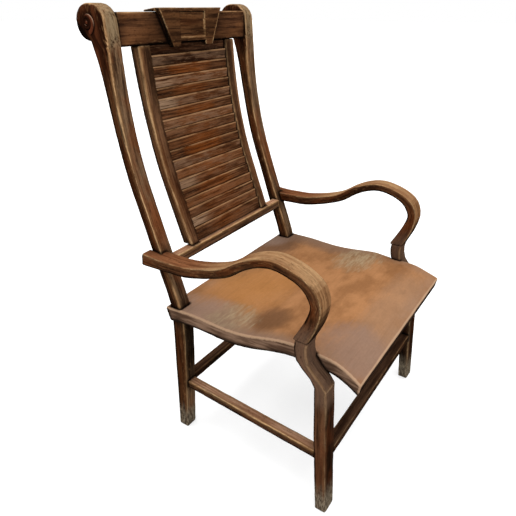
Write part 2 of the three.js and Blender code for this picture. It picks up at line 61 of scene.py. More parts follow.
# The studio: lengths in metres, the light's spread in degrees
overhead_strength = 2.8
overhead_spread = 80
overhead_height = 3
floor_size = 80
floor_tones = (0.48, 0.48, 0.48, 1), (0.5, 0.5, 0.5, 1)
floor_speck = 0.4
floor_dullness = 0.9
floor_gloss = 0.1
floor_glow = 0.6
white = (1, 1, 1, 1)

# How finely each kind of timber is cut
fineness = {
    "seat": 3.0 * MM,
    "rear_post": 2.2 * MM,
    "front_post": 2.2 * MM,
    "arm": 2.2 * MM,
    "stile": 2.1 * MM,
    "slat": 1.7 * MM,
    "headrest": 1.5 * MM,
}
usual_fineness = 2.1 * MM
weld_reach = 0.01 * MM
easing_share = 0.5
easing_rounds = 2

# Unevenness of the hand-worked faces, and chips along the arrises
hand_dent = 0.9 * MM
hand_dent_size = 55 * MM
chip_depth = 0.7 * MM
chip_size = 16 * MM
chip_reach = 6 * MM
dent_layers = 2

# How much longer and higher a slat is drawn, and how far an arm's foot is let down
slat_stretch = (3.2 * MM, 0, 2.4 * MM)
foot_reach = 4 * MM
foot_drop = 1.6 * MM

# Where an arris counts as sharp, how closely it is sampled, and how near a neighbour hides it
sharp_angle = math.radians(30)
arris_step = 1.5 * MM
hidden_reach = 1.5 * MM

# How an arris's facing decides how shy of rubbing it is, and whether it lies in shade
front_share = 0.75
least_rubbed = 0.3
rubbed_range = 0.4
shy_steps = 3
shy_distance = 12 * MM
back_share = 0.6
shade_facing = 0.2

# Kinds of timber whose shaded arrises get no painted shade
shadeless_arris_kinds = ("headrest",)

# How far a joint's painted shade is felt, and timbers that join so closely that neither painted shade nor
# arris shows
joint_reach = 30 * MM
grown_together = {"arm": "front_post", "front_post": "arm"}
seam_reach = 7 * MM

# Volute on the outer face of each rear post's scroll, and the button at its eye
scroll_radius = 39.5 * MM
eye_rise = 3 * MM
eye_reach = 20 * MM
volute_start = math.radians(255)
volute_sweep = math.radians(600)
volute_steps = 54
volute_radius = 22 * MM
volute_sides = 14
volute_width_share = 0.28
volute_draw = 0.16
volute_flatness = 0.75
volute_fineness = 0.8 * MM
button_radius = 5 * MM
button_segments = 20
button_rings = 12

# Middle line of an arm, as shares of the arm's depth and height
arm_line_shares = [
    (0.096, 0), (0.046, 0.29), (0.03, 0.56), (0.05, 0.71), (0.09, 0.81), (0.166, 0.9), (0.242, 0.935),
    (0.319, 0.894), (0.397, 0.782), (0.48, 0.624), (0.563, 0.535), (0.65, 0.465), (0.738, 0.412),
    (0.82, 0.4), (0.915, 0.394), (1, 0.406),
]
arm_line_steps = 240
search_block = 4000
section_step = 12 * MM

# How far the grain is moved on from one timber to the next, so that no two look alike
grain_shift = np.array([1.7, 0.9, 0.4])

# How light, orange and grey each board of the back is, and how dusty at its end nearest the camera
slat_marks = ("light", "orange", "grey", "dusty")
slat_looks = {
    "top_rail": (0.1, 0.0, 0.1, 0.0),
    "slat_01": (0.2, 0.0, 0.5, 0.1),
    "slat_02": (0.35, 0.9, 0.1, 0.0),
    "slat_03": (0.6, 0.2, 0.7, 0.7),
    "slat_04": (0.3, 0.5, 0.0, 0.0),
    "slat_05": (0.45, 0.1, 0.6, 0.9),
    "slat_06": (0.4, 0.7, 0.1, 0.0),
    "slat_07": (0.75, 0.2, 0.8, 0.2),
    "slat_08": (0.5, 0.3, 0.3, 0.0),
    "slat_09": (0.45, 0.7, 0.0, 0.0),
    "slat_10": (0.35, 1.0, 0.0, 0.0),
    "slat_11": (0.5, 0.2, 0.7, 0.1),
    "slat_12": (0.8, 0.5, 0.4, 0.0),
    "slat_13": (0.5, 0.4, 0.3, 0.6),
    "slat_14": (0.5, 0.7, 0.1, 0.0),
    "slat_15": (0.7, 0.6, 0.2, 0.0),
    "slat_16": (0.5, 0.5, 0.2, 0.0),
    "slat_17": (0.6, 0.4, 0.3, 1.0),
    "slat_18": (0.45, 0.5, 0.2, 0.0),
}


def colour(red, green, blue):
    """A colour from its screen values of 0 to 255."""
    shares = [value / 255 for value in (red, green, blue)]
    return tuple(s / 12.92 if s < 0.04045 else ((s + 0.055) / 1.055) ** 2.4 for s in shares) + (1.0,)


# Paints of the frame's timbers
# Near black: painted shade on undersides, shaded arrises, hollows and nooks, and the dark flecks of the
# slats
shade_and_fleck_black = colour(6, 4, 3)
honey = colour(184, 148, 106)
tan = colour(128, 92, 58)
olive = colour(94, 80, 58)
russet = colour(100, 48, 18)
chestnut = colour(72, 38, 17)
driftwood = colour(90, 69, 55)
umber = colour(32, 18, 10)
# Painted shade round the joints
joint_shade_brown = colour(22, 12, 7)
bleached = colour(136, 116, 88)
light_fleck = colour(120, 88, 56)
dark_fleck = colour(16, 9, 5)
foot_dust = colour(52, 45, 36), colour(118, 107, 90)
scroll_face = colour(34, 15, 7), colour(64, 32, 17)
dull_top = colour(84, 54, 36), colour(128, 96, 68)
timber_gloss = 0.0
polish_roughness = 0.4

# Heights, each from where a mark of the frame's timbers starts to where it is full
waist_foot = 480 * MM, 600 * MM
waist_head = 820 * MM, 700 * MM
dark_middle_height = 780 * MM, 930 * MM
# The next heights bound painted shade: on an upright's hidden side, and on inner sides and leg fronts under
# the seat
hidden_side_foot = 420 * MM, 470 * MM
hidden_side_head = 760 * MM, 600 * MM
inner_shade_height = 380 * MM, 360 * MM
under_seat = 372 * MM, 362 * MM
leg_front_height = 110 * MM, 250 * MM
foot_dust_height = 90 * MM, 30 * MM

# Depth from where an arm's fore paint starts to where it is full
fore_depth = 70 * MM, -60 * MM

# Squared distance from a scroll's eye, from where its painted shade starts to where it is full
eye_shade_squares = 0.00085, 0.00045

# Patches of the seat's top: middle and half size on the board, strength and paint
seat_dust = colour(114, 92, 77)
seat_patches = [
    (-70 * MM, 30 * MM, 150 * MM, 110 * MM, 0.8, colour(144, 98, 56)),
    (0, -330 * MM, 240 * MM, 60 * MM, 0.5, colour(130, 102, 80)),
    (-190 * MM, -320 * MM, 90 * MM, 90 * MM, 0.8, colour(118, 94, 80)),
    (-260 * MM, 40 * MM, 80 * MM, 120 * MM, 0.9, colour(132, 106, 90)),
    (-320 * MM, -140 * MM, 75 * MM, 180 * MM, 0.85, seat_dust),
    (140 * MM, 130 * MM, 220 * MM, 90 * MM, 0.9, colour(92, 66, 48)),
    (250 * MM, 140 * MM, 90 * MM, 50 * MM, 0.85, colour(110, 90, 78)),
    (260 * MM, 0, 45 * MM, 170 * MM, 0.75, colour(108, 82, 64)),
    (-195 * MM, -105 * MM, 60 * MM, 45 * MM, 0.9, colour(98, 68, 46)),
]

# The seat's two scuffed places, near and far from the camera: middle and half size on the board
near_scuffs = (-250 * MM, -20 * MM, 85 * MM, 55 * MM)
far_scuffs = (205 * MM, -150 * MM, 85 * MM, 65 * MM)


class Value:
    """An output of a shader node. Sums on it add Math nodes."""

    def __init__(self, finish, socket):
        self.finish = finish
        self.socket = socket

    def __add__(self, other):
        return self.finish.sum("ADD", self, other)

    def __radd__(self, other):
        return self.finish.sum("ADD", other, self)

    def __sub__(self, other):
        return self.finish.sum("SUBTRACT", self, other)

    def __rsub__(self, other):
        return self.finish.sum("SUBTRACT", other, self)

    def __mul__(self, other):
        return self.finish.sum("MULTIPLY", self, other)

    def __truediv__(self, other):
        return self.finish.sum("DIVIDE", self, other)

    def larger(self, other):
        """The larger of two numbers."""
        return self.finish.sum("MAXIMUM", self, other)

    def between(self, low, high):
        """0 at low, 1 at high, and a smooth rise from one to the other."""
        settings = {"interpolation_type": "SMOOTHSTEP"}
        return self.finish.node("ShaderNodeMapRange", settings, {0: self, 1: low, 2: high})

    def frayed(self, noise, width):
        """The same number made uneven by noise, so that an edge drawn by it wanders within a width."""
        return self + (noise - 0.5) * width


class Finish:
    """One finish: a material, the nodes that make it and the paint laid so far."""

    def __init__(self, name):
        self.material = bpy.data.materials.new(name)
        self.material.use_nodes = True
        self.tree = self.material.node_tree
        self.tree.nodes.clear()
        self.spot = self.node("ShaderNodeTexCoord", {}, {}, "Object")
        self.paint = None

    def node(self, kind, settings=None, sockets=None, output=0):
        """A node of any kind, with its settings first and then its sockets' values or links."""
        made = self.tree.nodes.new(kind)
        for name, setting in (settings or {}).items():
            setattr(made, name, setting)
        for name, value in (sockets or {}).items():
            if isinstance(value, Value):
                self.tree.links.new(value.socket, made.inputs[name])
            else:
                made.inputs[name].default_value = value
        return Value(self, made.outputs[output])

    def sum(self, operation, first, second):
        """One step of arithmetic."""
        return self.node("ShaderNodeMath", {"operation": operation}, {0: first, 1: second})

    def mix(self, share, first, second):
        """The first colour where share is 0, and the second where it is 1."""
        return self.node("ShaderNodeMix", {"data_type": "RGBA"}, {0: share, 6: first, 7: second}, 2)

    def lay(self, share, paint):
        """Lays a paint over the present one: not at all where share is 0, and fully where it is 1."""
        self.paint = self.mix(share, self.paint, paint)

    def dim(self, share):
        """Makes the present paint darker or lighter by a number."""
        scaling = {0: self.paint, "Scale": share}
        self.paint = self.node("ShaderNodeVectorMath", {"operation": "SCALE"}, scaling)

    def measure(self, name):
        """A number that the piece's mesh carries."""
        return self.node("ShaderNodeAttribute", {"attribute_name": name}, output="Fac")

    def place(self, name):
        """A place that the piece's mesh carries."""
        return self.node("ShaderNodeAttribute", {"attribute_name": name}, output="Vector")

    def split(self, vector):
        """The three parts of a place or a facing."""
        return [self.node("ShaderNodeSeparateXYZ", {}, {0: vector}, axis) for axis in "XYZ"]

    def noise(self, place, pitch, detail=3, roughness=0.55, shift=(0, 0, 0)):
        """Cloudy noise, whose lumps are about as long as pitch along each axis."""
        scale = [1 / length for length in pitch]
        moved = self.node("ShaderNodeMapping", {}, {"Vector": place, "Scale": scale, "Location": shift})
        sockets = {"Vector": moved, "Scale": 1, "Detail": detail, "Roughness": roughness}
        return self.node("ShaderNodeTexNoise", {}, sockets)

    def cover(self, roughness, relief, depth, gloss, polish=0.0, glow=0.0):
        """Ends the material in a bumped surface of the paint laid, with a polish and a glow of its own."""
        bump = self.node("ShaderNodeBump", {}, {"Strength": 1, "Distance": depth, "Height": relief})
        sockets = {"Base Color": self.paint, "Roughness": roughness, "Specular IOR Level": gloss}
        sockets |= {"Normal": bump, "Coat Weight": polish, "Coat Roughness": polish_roughness}
        sockets |= {"Emission Color": white, "Emission Strength": glow}
        shader = self.node("ShaderNodeBsdfPrincipled", {}, sockets)
        end = self.tree.nodes.new("ShaderNodeOutputMaterial")
        self.tree.links.new(shader.socket, end.inputs["Surface"])
        return self.material


class Wood(Finish):
    """A finish that knows the grain, the faces, the arrises and the joints of its timber."""

    def __init__(self, name):
        super().__init__(name)
        self.across, self.deep, self.height = self.split(self.spot)
        facing = self.node("ShaderNodeNewGeometry", {}, {}, "Normal")
        self.facing_x, self.facing_y, self.facing_z = self.split(facing)
        self.grain = self.place("grain")
        self.worn, self.shaded, self.joint = (self.measure(mark) for mark in ("worn", "shaded", "joint"))

    def grained(self, length, thickness, **looks):
        """Noise drawn out along the grain."""
        return self.noise(self.grain, (length, thickness, thickness), **looks)


class FrameWood(Wood):
    """The wood of the frame's timbers, with its noise and the layers that its paint is laid in."""

    def __init__(self, name, rub, shine):
        super().__init__(name)
        self.rub, self.shine = rub, shine
        self.waist = self.within = self.below = self.core = 0
        self.fibre = self.grained(70 * MM, 2.2 * MM, detail=5)
        self.streak = self.grained(130 * MM, 5 * MM, detail=3, shift=(7, 3, 1))
        self.band = self.grained(150 * MM, 18 * MM, detail=4, shift=(3, 8, 6))
        self.blotch = self.grained(90 * MM, 40 * MM, detail=4, shift=(2, 9, 5))
        self.ragged = self.grained(30 * MM, 4 * MM, detail=4, shift=(1, 6, 2))
        self.fading = self.grained(80 * MM, 60 * MM, detail=2, shift=(4, 4, 9))
        self.fleck = self.grained(16 * MM, 3.5 * MM, detail=6, roughness=0.7, shift=(8, 1, 3))
        self.grit = self.noise(self.spot, (5 * MM, 5 * MM, 5 * MM), detail=3, shift=(3, 5, 7))
        self.tone = (self.streak * 0.5 + self.band * 0.5).between(0.39, 0.61)
        self.ahead = self.facing_y.between(-0.5, -0.85)
        self.flat = (self.facing_x * self.facing_x).between(0.3, 0.65)
        self.edge = self.worn.frayed(self.ragged, rub * 0.8).frayed(self.streak, rub * 1.4)

    def lay_sides(self, side, front, warm):
        """The sides and the front, painted darker than the tops partly as painted shade, with warm blotches.
        """
        self.paint = self.mix(self.tone, *side)
        self.lay(self.ahead, self.mix(self.tone, *front))
        self.lay(self.blotch.between(0.46, 0.66) * 0.35, warm)

    def lay_waist(self, warm):
        """The warm stretch at half an upright timber's height."""
        self.waist = self.height.between(*waist_foot) * self.height.between(*waist_head)
        self.lay(self.waist * self.blotch.between(0.3, 0.5) * 0.6, self.mix(self.tone, chestnut, warm))

    def lay_tops(self, top, fore):
        """The faces that look up, painted lighter partly as painted light, and painted shade where a
        timber's front turns under.
        """
        upper = self.mix(self.tone, *top)
        if fore:
            fore_paint = self.mix(self.band.between(0.35, 0.65), *fore)
            upper = self.mix(self.deep.between(*fore_depth), upper, fore_paint)
            # Painted shade where the front turns under and looks down
            turned_under = self.facing_y.between(-0.4, -0.8) * self.facing_z.between(0.1, -0.35)
            self.lay(turned_under * 0.75, shade_and_fleck_black)
        self.lay(self.facing_z.between(0.5, 0.78), upper)

    def lay_dark_middle(self, reach):
        """The dark of the front and the top, from one distance off the chair's middle to another."""
        off_middle = self.across.larger(0 - self.across).frayed(self.streak, 14 * MM)
        high = self.height.between(*dark_middle_height) * 0.75 + 0.1
        self.within = off_middle.between(*reach) * high * self.facing_y.between(0.5, 0)
        self.lay(self.within, umber)

    def lay_shade(self, joint_shading, upright):
        """Painted shade: in the nooks round the joints, on the inner sides under the seat, and along the
        arrises that lie in shade.
        """
        self.lay(self.joint.frayed(self.blotch, 20 * MM).between(28 * MM, 0) * joint_shading, joint_shade_brown)
        inward = (self.across * self.facing_x).between(-50 * MM, -150 * MM)
        self.lay(inward * self.height.between(*inner_shade_height) * 0.75, shade_and_fleck_black)
        shade = self.shaded.frayed(self.streak, 6 * MM).between(7 * MM, 1.5 * MM) * 0.9
        if upright:
            shade = shade.larger(self.upright_shade())
        self.lay(shade, shade_and_fleck_black)

    def upright_shade(self):
        """How much painted shade an upright timber has on its hidden side and, mostly in front, below the
        seat.
        """
        fringe = self.shaded.frayed(self.ragged, 6 * MM).between(11 * MM, 4 * MM) * 0.85
        hidden = self.shaded.frayed(self.streak, 16 * MM).between(22 * MM, 8 * MM)
        hidden = hidden * self.height.between(*hidden_side_head)
        hidden = hidden * (self.height.between(*hidden_side_foot) * 0.65)
        self.below = self.height.between(*under_seat)
        leg = self.below * (self.ahead * self.height.between(*leg_front_height) * 0.75 + 0.15)
        return fringe.larger(hidden).larger(leg)

    def off_scroll(self):
        """How far each place is behind the scroll's middle, and how far above it."""
        centre = scroll_centre("rear_post_left")
        return self.deep - centre.y, self.height - centre.z

    def lay_scroll(self):
        """A scroll's red-brown flats with painted shade round the eye, darker ahead of it, and its bleached
        crown.

        Its arrises are rubbed less widely on the flats, and more widely over the crown.
        """
        back, rise = self.off_scroll()
        self.lay(self.flat * rise.between(-130 * MM, -60 * MM) * 0.9, self.mix(self.tone, *scroll_face))
        # Painted shade round the eye
        self.lay(self.flat * (back * back + rise * rise).between(*eye_shade_squares) * 0.6, shade_and_fleck_black)
        self.lay(self.flat * back.between(-20 * MM, -42 * MM) * 0.5, shade_and_fleck_black)
        crown = rise.between(-80 * MM, -10 * MM) * (self.facing_x * self.facing_x).between(0.4, 0.1)
        self.lay(crown * self.streak.between(0.3, 0.55) * 0.7, bleached)
        slim = self.flat * rise.between(-110 * MM, -60 * MM) * 1.6
        wide = rise.between(-60 * MM, 0) * (1 - self.flat) * 1.3
        self.edge = self.edge * (1 + slim) / (1 + wide)

    def lay_rubbing(self):
        """The rubbed arrises: a wide dull halo, a bright core and light flecks. Dark flecks lie all over."""
        halo = self.edge.between(self.rub * 1.2, self.rub * 0.2) * self.fading.between(0.2, 0.5)
        # The rubbing is dimmed as painted shade under the seat, and in the dark middle
        halo = halo * (1 - self.below * 0.75) * (1 - self.waist * 0.5) * (1 - self.within * 0.8)
        core = self.edge.between(self.rub * 0.42, self.rub * 0.05) * self.fading.between(0.3, 0.5)
        self.core = core * (1 - self.below * 0.7) * (1 - self.within * 0.8)
        self.lay(halo * (0.5 * self.shine), self.mix(self.band.between(0.45, 0.62), tan, olive))
        self.lay(self.core * (0.9 * self.shine), self.mix(self.streak.between(0.3, 0.55), tan, honey))
        flecks = self.fleck.between(0.54, 0.66) * self.worn.between(26 * MM, 2 * MM)
        flecks = flecks * (1 - self.facing_z.between(0.3, 0.7))
        self.lay(flecks * (0.5 * self.shine), light_fleck)
        self.lay(self.fleck.between(0.45, 0.34) * 0.55, dark_fleck)

    def lay_shade_under_scroll(self):
        """Painted shadow behind and under a scroll, where it curls over its post."""
        back, rise = self.off_scroll()
        hidden = (back - rise).between(24 * MM, 36 * MM) * rise.between(-60 * MM, -42 * MM)
        self.lay(hidden * self.flat.larger(0.4) * 0.95, shade_and_fleck_black)

    def finished(self):
        """The material, with its fibres, the dust on its feet, and painted shade at its joints and on its
        undersides.
        """
        self.dim(self.fibre * 0.9 + self.grit * 0.5 + 0.3)
        foot = self.height.frayed(self.streak, 50 * MM).between(*foot_dust_height)
        self.lay(foot * (0.5 + self.ragged * 0.6), self.mix(self.fleck.between(0.4, 0.6), *foot_dust))
        # Painted shade at the joints and on faces that look down
        contact_shade = self.joint.frayed(self.ragged, 4 * MM).between(7 * MM, 0.5 * MM)
        underside_shade = self.facing_z.between(-0.12, -0.55)
        self.lay((contact_shade * 0.85).larger(underside_shade * 0.92), shade_and_fleck_black)
        rough = 0.6 - self.core * 0.12 + contact_shade * 0.2 + (self.fibre - 0.5) * 0.25
        relief = self.fibre * 0.45 + self.streak * 0.3 + self.ragged * 0.15 + self.grit * 0.1
        return self.cover(rough, relief, 0.5 * MM, timber_gloss, self.core * 0.12)


def timber_wood(
    name, side, front, top, fore=None, warm=russet, rub=8 * MM, shine=1.0,
    upright=False, scroll=False, greyed=None, dark_within=None, joint_shading=0.5,
):
    """Dark streaky timber, rubbed bright along its arrises, with painted shade round its joints.

    side, front, top and fore are each the dark and the light paint: of the faces that look
    sideways, forwards and up, and of those that look up at the front of the chair. The sides and
    fronts are painted darker and the tops lighter, partly as painted shade and painted light.
    A timber with a fore has painted shade where its front turns under.
    rub is how wide the arrises are rubbed, and shine is how bright. An upright timber is warmest
    at half its height, with painted shade on its hidden side and under the seat. One with a scroll
    is red-brown on the scroll's flats and bleached on its crown. A timber may turn grey from one
    height to another, and dark from one distance off the chair's middle plane to another.
    The last argument says how dark the painted shade round its joints is.
    """
    wood = FrameWood(name, rub, shine)
    wood.lay_sides(side, front, warm)
    if upright:
        wood.lay_waist(warm)
    if greyed:
        wood.lay(wood.height.between(*greyed) * 0.65, driftwood)
    wood.lay_tops(top, fore)
    if dark_within:
        wood.lay_dark_middle(dark_within)
    wood.lay_shade(joint_shading, upright)
    if scroll:
        wood.lay_scroll()
    wood.lay_rubbing()
    if scroll:
        wood.lay_shade_under_scroll()
    return wood.finished()


def volute_wood():
    """The volutes' wood: painted shade in its hollow, red-brown on its crown, a painted highlight where it
    looks up and ahead.
    """
    wood = Wood("volute_wood")
    proud = wood.measure("proud")
    fibre = wood.grained(40 * MM, 2 * MM, detail=4)
    grit = wood.grained(5 * MM, 5 * MM, detail=3, shift=(3, 5, 7))
    red_brown = wood.mix(grit, colour(56, 26, 14), colour(92, 48, 30))
    # Painted shade in the hollow between the turns
    wood.paint = wood.mix(proud.between(0.25, 0.85), shade_and_fleck_black, red_brown)
    # Painted highlight on what looks up and ahead
    lit = (wood.facing_z * 0.8 - wood.facing_y * 0.6).between(0.25, 0.85) * proud.between(0.1, 0.4)
    wood.lay(lit * (0.45 + grit * 0.7), colour(160, 124, 100))
    wood.dim(fibre * 0.8 + 0.6)
    rough = 0.55 - lit * 0.15 + (fibre - 0.5) * 0.2
    return wood.cover(rough, fibre * 0.6 + grit * 0.4, 0.3 * MM, timber_gloss, lit * 0.15)


def slat_wood():
    """The slats' thin boards, each with its own tone, its orange glow and its dusty end."""
    wood = Wood("slat_wood")
    light, orange, grey, dusty = (wood.measure(mark) for mark in slat_marks)
    fibre = wood.grained(60 * MM, 1.4 * MM, detail=4)
    streak = wood.grained(110 * MM, 3.2 * MM, detail=4, shift=(7, 3, 1))
    cloud = wood.grained(60 * MM, 14 * MM, detail=3, shift=(5, 1, 8))
    ragged = wood.grained(26 * MM, 3 * MM, detail=4, shift=(1, 6, 2))
    fleck = wood.grained(22 * MM, 1.8 * MM, detail=6, roughness=0.7, shift=(8, 1, 3))

    tone = (streak - 0.5) * 1.7 + (cloud - 0.5) * 0.8 + light
    wood.paint = wood.mix(tone.between(0, 1), colour(32, 16, 8), colour(104, 65, 39))
    middle = (wood.across + 10 * MM) / (95 * MM)
    glow = orange * (middle * middle).frayed(cloud, 1.6).between(1, 0)
    wood.lay(glow * 0.7, wood.mix(streak.between(0.35, 0.6), colour(74, 35, 11), colour(114, 60, 22)))
    wood.lay(grey * cloud.between(0.42, 0.6) * streak.between(0.3, 0.55) * 0.75, colour(108, 86, 68))
    end = wood.across.frayed(cloud, 70 * MM).frayed(streak, 60 * MM).between(-60 * MM, -105 * MM)
    wood.lay(end * dusty * streak.between(0.34, 0.52) * 0.75, colour(144, 118, 94))
    wood.lay(fleck.between(0.55, 0.68) * (grey * 0.4 + 0.25), colour(136, 106, 80))
    wood.lay(fleck.between(0.44, 0.34) * 0.6, shade_and_fleck_black)
    wood.dim(fibre * 1.2 + 0.4)

    # Painted shade at the joints, on faces that look down, and along each board's lower edge under the board
    # above
    contact_shade = wood.joint.frayed(ragged, 3 * MM).between(4 * MM, 0.5 * MM)
    underside_shade = wood.facing_z.between(-0.35, -0.8)
    foot = wood.shaded.frayed(ragged, 3 * MM).between(4.5 * MM, 1 * MM)
    wood.lay((contact_shade * 0.8).larger(underside_shade * 0.92).larger(foot * 0.8), shade_and_fleck_black)
    core = wood.worn.frayed(ragged, 2 * MM).between(3.2 * MM, 1 * MM) * cloud.between(0.3, 0.5)
    wood.lay(core * 0.5, wood.mix(streak.between(0.35, 0.6), tan, colour(158, 120, 82)))

    rough = 0.55 + contact_shade * 0.2 + (fibre - 0.5) * 0.25
    relief = fibre * 0.5 + streak * 0.35 + ragged * 0.15
    return wood.cover(rough, relief, 0.4 * MM, timber_gloss, core * 0.1)


class SeatWood(Wood):
    """The wood of the seat's board, with its noise and its patches."""

    def __init__(self):
        super().__init__("seat_wood")
        self.fibre = self.grained(45 * MM, 2.2 * MM, detail=4)
        self.streak = self.grained(160 * MM, 9 * MM, detail=4, shift=(7, 3, 1))
        self.cloud = self.grained(90 * MM, 60 * MM, detail=4, shift=(5, 1, 8))
        self.ragged = self.grained(34 * MM, 6 * MM, detail=5, shift=(1, 6, 2))
        self.side = self.facing_z.between(0.7, 0.25)

    def patch(self, x, y, half_x, half_y, rough=0.9):
        """A soft-edged, ragged patch about one place on the board."""
        off_x, off_y = (self.across - x) / half_x, (self.deep - y) / half_y
        far = (off_x * off_x + off_y * off_y).frayed(self.cloud, 1.5).frayed(self.ragged, rough)
        return far.between(1.5, 0.1)

    def lay_top(self):
        """The top with its patches, the scuffs near the arms' feet and the dust along the rim."""
        self.paint = self.mix(self.cloud.between(0.35, 0.65), colour(120, 82, 52), colour(142, 100, 66))
        for *place, strength, paint in seat_patches:
            self.lay(self.patch(*place) * strength, paint)
        scuffs = self.patch(*near_scuffs, rough=2).larger(self.patch(*far_scuffs, rough=2))
        hatch = self.noise(self.spot, (34 * MM, 8 * MM, 8 * MM), detail=6, roughness=0.65, shift=(6, 2, 4))
        self.lay(scuffs * 0.5, colour(114, 93, 70))
        self.lay(scuffs * hatch.between(0.38, 0.62) * 0.8, colour(144, 124, 97))
        self.lay(self.worn.between(50 * MM, 8 * MM) * self.cloud.between(0.35, 0.6) * 0.5, seat_dust)
        self.lay(self.streak.between(0.54, 0.72) * 0.12, colour(90, 62, 42))
        grit = self.noise(self.spot, (7 * MM, 5 * MM, 5 * MM), detail=4, shift=(3, 5, 7))
        self.dim(self.fibre * 0.25 + grit * 0.3 + 0.8)

    def lay_edge(self):
        """The grey-brown edge of the board, with painted shade on its front and along its lower edge, and
        its pale rim.
        """
        along = self.noise(self.spot, (70 * MM, 70 * MM, 9 * MM), detail=4, shift=(2, 2, 7))
        edge = self.mix(along.between(0.35, 0.65), colour(70, 51, 39), colour(114, 90, 73))
        # Painted shade on the front face
        front = self.facing_y.between(-0.5, -0.85)
        self.lay(self.side, self.mix(front * 0.85, edge, colour(20, 11, 7)))
        rim = self.worn.frayed(self.ragged, 5 * MM).between(5.5 * MM, 1.5 * MM)
        self.lay(rim * self.ragged.between(0.2, 0.4) * 0.9, colour(160, 130, 104))
        # Painted shade along the lower edge
        low_edge_shade = self.shaded.frayed(along, 10 * MM).between(13 * MM, 3 * MM)
        self.lay(low_edge_shade * self.side * 0.9, shade_and_fleck_black)


def seat_wood():
    """The seat's board: orange-brown where it is sat on, grey with dust round its rim."""
    wood = SeatWood()
    wood.lay_top()
    wood.lay_edge()
    # Painted shade at the joints and underneath
    contact_shade = wood.joint.frayed(wood.ragged, 4 * MM).between(8 * MM, 1 * MM)
    underside_shade = wood.facing_z.between(-0.2, -0.7)
    wood.lay((contact_shade * 0.8).larger(underside_shade * 0.95), shade_and_fleck_black)
    rough = 0.52 + (wood.cloud - 0.5) * 0.3 + (wood.fibre - 0.5) * 0.2
    relief = wood.fibre * 0.5 + wood.streak * 0.3 + wood.ragged * 0.2
    return wood.cover(rough, relief, 0.35 * MM, timber_gloss, (1 - wood.side) * 0.01)


def kind_of(node):
    """The kind of timber a node is, such as rear_post for rear_post_left."""
    for kind in ("rear_post", "front_post", "side_stretcher", "arm", "stile", "slat", "headrest"):
        if node.startswith(kind):
            return kind
    return node


def alone(piece):
    """Leaves one piece selected and active."""
    bpy.ops.object.select_all(action="DESELECT")
    piece.select_set(True)
    bpy.context.view_layer.objects.active = piece


def places(piece):
    """The places of the piece's vertices, one to a row."""
    flat = np.empty(len(piece.data.vertices) * 3)
    piece.data.vertices.foreach_get("co", flat)
    return flat.reshape(-1, 3)


def welded_copy(node):
    """A copy of a node's solid with its loose triangles joined."""
    piece = bpy.data.objects.new(node + "_timber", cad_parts[node].data.copy())
    bpy.context.scene.collection.objects.link(piece)
    piece.data.materials.clear()
    alone(piece)
    bpy.ops.object.mode_set(mode="EDIT")
    bpy.ops.mesh.select_all(action="SELECT")
    bpy.ops.mesh.remove_doubles(threshold=weld_reach)
    bpy.ops.object.mode_set(mode="OBJECT")
    return piece


def solids(names):
    """Some nodes' solids as one search tree."""
    corners, faces = [], []
    for name in names:
        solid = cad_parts[name].data
        start = len(corners)
        corners += [vertex.co for vertex in solid.vertices]
        faces += [[start + i for i in face.vertices] for face in solid.polygons]
    return BVHTree.FromPolygons(corners, faces)


def neighbours(node, but=None):
    """The solids of all other nodes, but for the nodes of one kind."""
    return solids(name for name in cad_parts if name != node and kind_of(name) != but)


def distance_to(tree, point):
    """How far the nearest surface of the tree is, up to the reach of a joint."""
    found = tree.find_nearest(point, joint_reach)[3]
    return joint_reach if found is None else found


def rubbing(facing, across):
    """How much an arris is rubbed, from 0 to 1: most where it looks up, or ahead and to a side.

    On the right-hand half of the chair a look inwards counts against it.
    """
    sideways = max(-facing.x, facing.x if across > 0 else -1)
    reach = max(facing.z, (sideways - facing.y) / math.sqrt(2), -facing.y * front_share)
    return min(max((reach - least_rubbed) / rubbed_range, 0), 1)


def arris_points(piece, others):
    """Points along the piece's open sharp edges, grouped by how shy of rubbing each edge is.

    The second list holds the points of the edges that lie in shade, which look down or back.
    """
    net = bmesh.new()
    net.from_mesh(piece.data)
    groups, dark = {}, []
    for edge in net.edges:
        if edge.is_manifold and edge.calc_face_angle() > sharp_angle:
            start, end = (vertex.co for vertex in edge.verts)
            facing = sum((face.normal for face in edge.link_faces), Vector()).normalized()
            shyness = round((1 - rubbing(facing, start.x)) * shy_steps)
            steps = math.ceil((end - start).length / arris_step) + 1
            points = [start.lerp(end, i / steps) for i in range(steps + 1)]
            open_points = [p for p in points if distance_to(others, p) > hidden_reach]
            groups.setdefault(shyness, []).extend(open_points)
            if facing.y * back_share - facing.z > shade_facing:
                dark += open_points
    net.free()
    return groups, dark


def scroll_centre(post):
    """The middle of a rear post's scroll, on the post's outer face."""
    low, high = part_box(post)
    side = low[ACROSS] + eye_rise if high[ACROSS] < 0 else high[ACROSS] - eye_rise
    return Vector((side, high[DEEP] - scroll_radius, high[UP] - scroll_radius))


def off_the_seam(points, partner):
    """Leaves out the points on a close joint, where no arris shows."""
    return [p for p in points if distance_to(partner, p) > seam_reach]


def off_the_eye(points, post):
    """Leaves out the points on the turned eye, which the volute covers."""
    centre = scroll_centre(post)
    return [p for p in points if (p - centre).yz.length > eye_reach]


def open_arrises(piece, node):
    """The points of the piece's arrises that show, in groups, and of those in shade."""
    kind = kind_of(node)
    arrises, dark = arris_points(piece, neighbours(node))
    if kind in grown_together:
        partner = solids(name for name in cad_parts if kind_of(name) == grown_together[kind])
        arrises = {shy: off_the_seam(points, partner) for shy, points in arrises.items()}
        dark = off_the_seam(dark, partner)
    if kind == "rear_post":
        arrises = {shy: off_the_eye(points, node) for shy, points in arrises.items()}
    if kind in shadeless_arris_kinds:
        dark = []
    return arrises, dark


